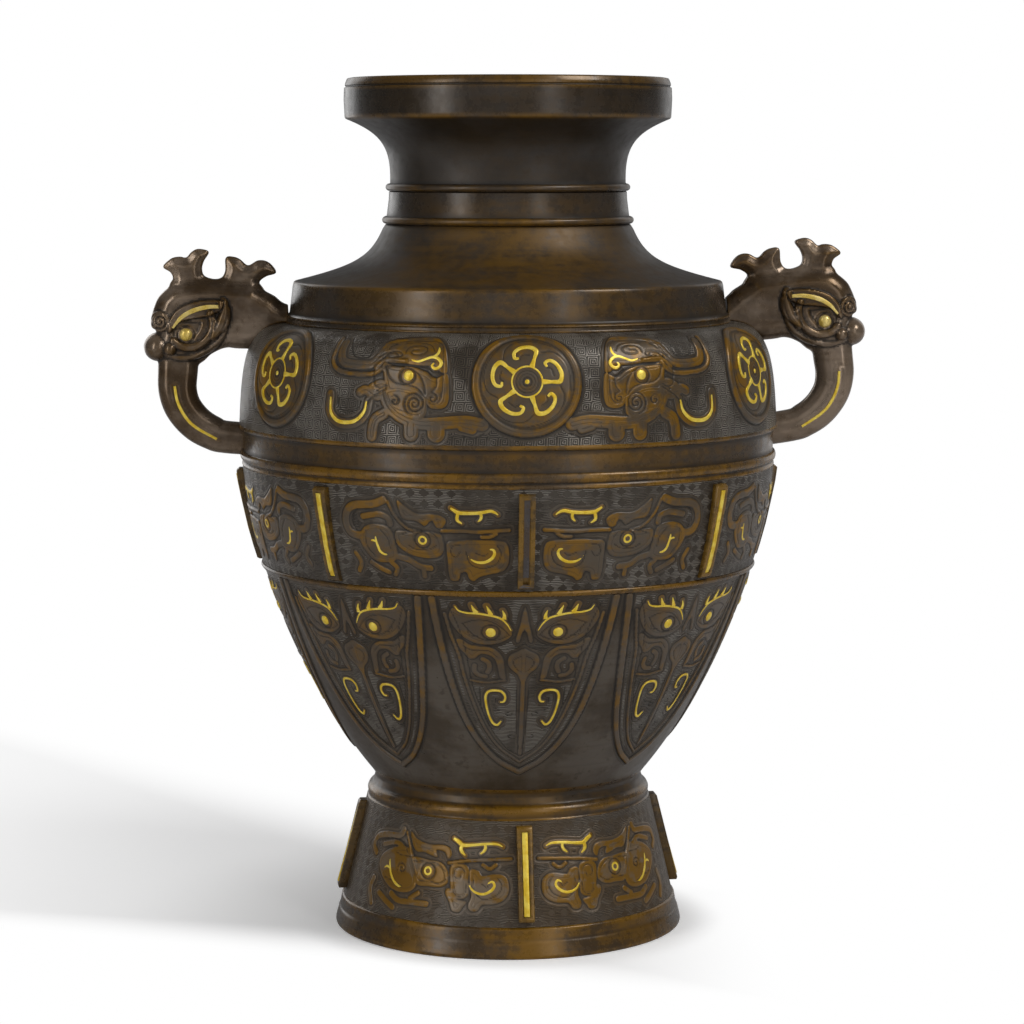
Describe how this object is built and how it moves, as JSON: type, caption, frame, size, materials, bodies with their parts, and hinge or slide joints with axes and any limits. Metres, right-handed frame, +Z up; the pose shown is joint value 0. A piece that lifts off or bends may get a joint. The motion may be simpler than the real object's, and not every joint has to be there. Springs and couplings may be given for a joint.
{
  "type": "vase",
  "caption": "Footed vase with wide mouth, round shoulder, tapering belly and two bird-head loop handles, cast in patinated bronze with gold wire inlay.",
  "frame": {"origin": "centre of the resting ring on the floor plane", "axes": "+Z up the vase, +X through the right handle, -Y towards the front medallion"},
  "size_m": [0.3373, 0.2556, 0.3989],
  "materials": {
    "bronze": "dark brown patina, waxed",
    "rubbed_bronze": "golden brown where rubbed",
    "gold": "burnished gold inlay"
  },
  "bodies": {
    "root": {"mouth_neck": "bronze", "shoulder": "bronze", "belly": "bronze", "foot_ring": "bronze", "floor_plate": "bronze", "right_handle": "bronze", "left_handle": "bronze", "belly_bar_1": "rubbed_bronze", "belly_bar_2": "rubbed_bronze", "belly_bar_3": "rubbed_bronze", "belly_bar_4": "rubbed_bronze", "belly_bar_5": "rubbed_bronze", "belly_bar_6": "rubbed_bronze", "belly_bar_7": "rubbed_bronze", "belly_bar_8": "rubbed_bronze", "foot_bar_1": "rubbed_bronze", "foot_bar_2": "rubbed_bronze", "foot_bar_3": "rubbed_bronze", "foot_bar_4": "rubbed_bronze", "belly_bar_2_gold_strip": "gold", "belly_bar_3_gold_strip": "gold", "belly_bar_4_gold_strip": "gold", "belly_bar_5_gold_strip": "gold", "belly_bar_6_gold_strip": "gold", "belly_bar_7_gold_strip": "gold", "belly_bar_8_gold_strip": "gold", "foot_bar_1_gold_strip": "gold", "foot_bar_2_gold_strip": "gold", "foot_bar_3_gold_strip": "gold", "foot_bar_4_gold_strip": "gold", "medallion_1_gold_whorl": "gold", "medallion_2_gold_whorl": "gold", "medallion_3_gold_whorl": "gold", "medallion_4_gold_whorl": "gold", "medallion_5_gold_whorl": "gold", "medallion_6_gold_whorl": "gold", "shoulder_beast_1_gold_eye": "gold", "shoulder_beast_1_gold_brow": "gold", "shoulder_beast_1_gold_horn": "gold", "shoulder_beast_2_gold_eye": "gold", "shoulder_beast_2_gold_brow": "gold", "shoulder_beast_2_gold_horn": "gold", "shoulder_beast_3_gold_eye": "gold", "shoulder_beast_3_gold_brow": "gold", "shoulder_beast_3_gold_horn": "gold", "shoulder_beast_4_gold_eye": "gold", "shoulder_beast_4_gold_brow": "gold", "shoulder_beast_4_gold_horn": "gold", "right_handle_gold_back_eye": "gold", "right_handle_gold_back_brow": "gold", "right_handle_gold_back_strip": "gold", "right_handle_gold_front_eye": "gold", "right_handle_gold_front_brow": "gold", "right_handle_gold_front_strip": "gold", "left_handle_gold_back_eye": "gold", "left_handle_gold_back_brow": "gold", "left_handle_gold_back_strip": "gold", "left_handle_gold_front_eye": "gold", "left_handle_gold_front_brow": "gold", "left_handle_gold_front_strip": "gold"}
  },
  "joints": []
}
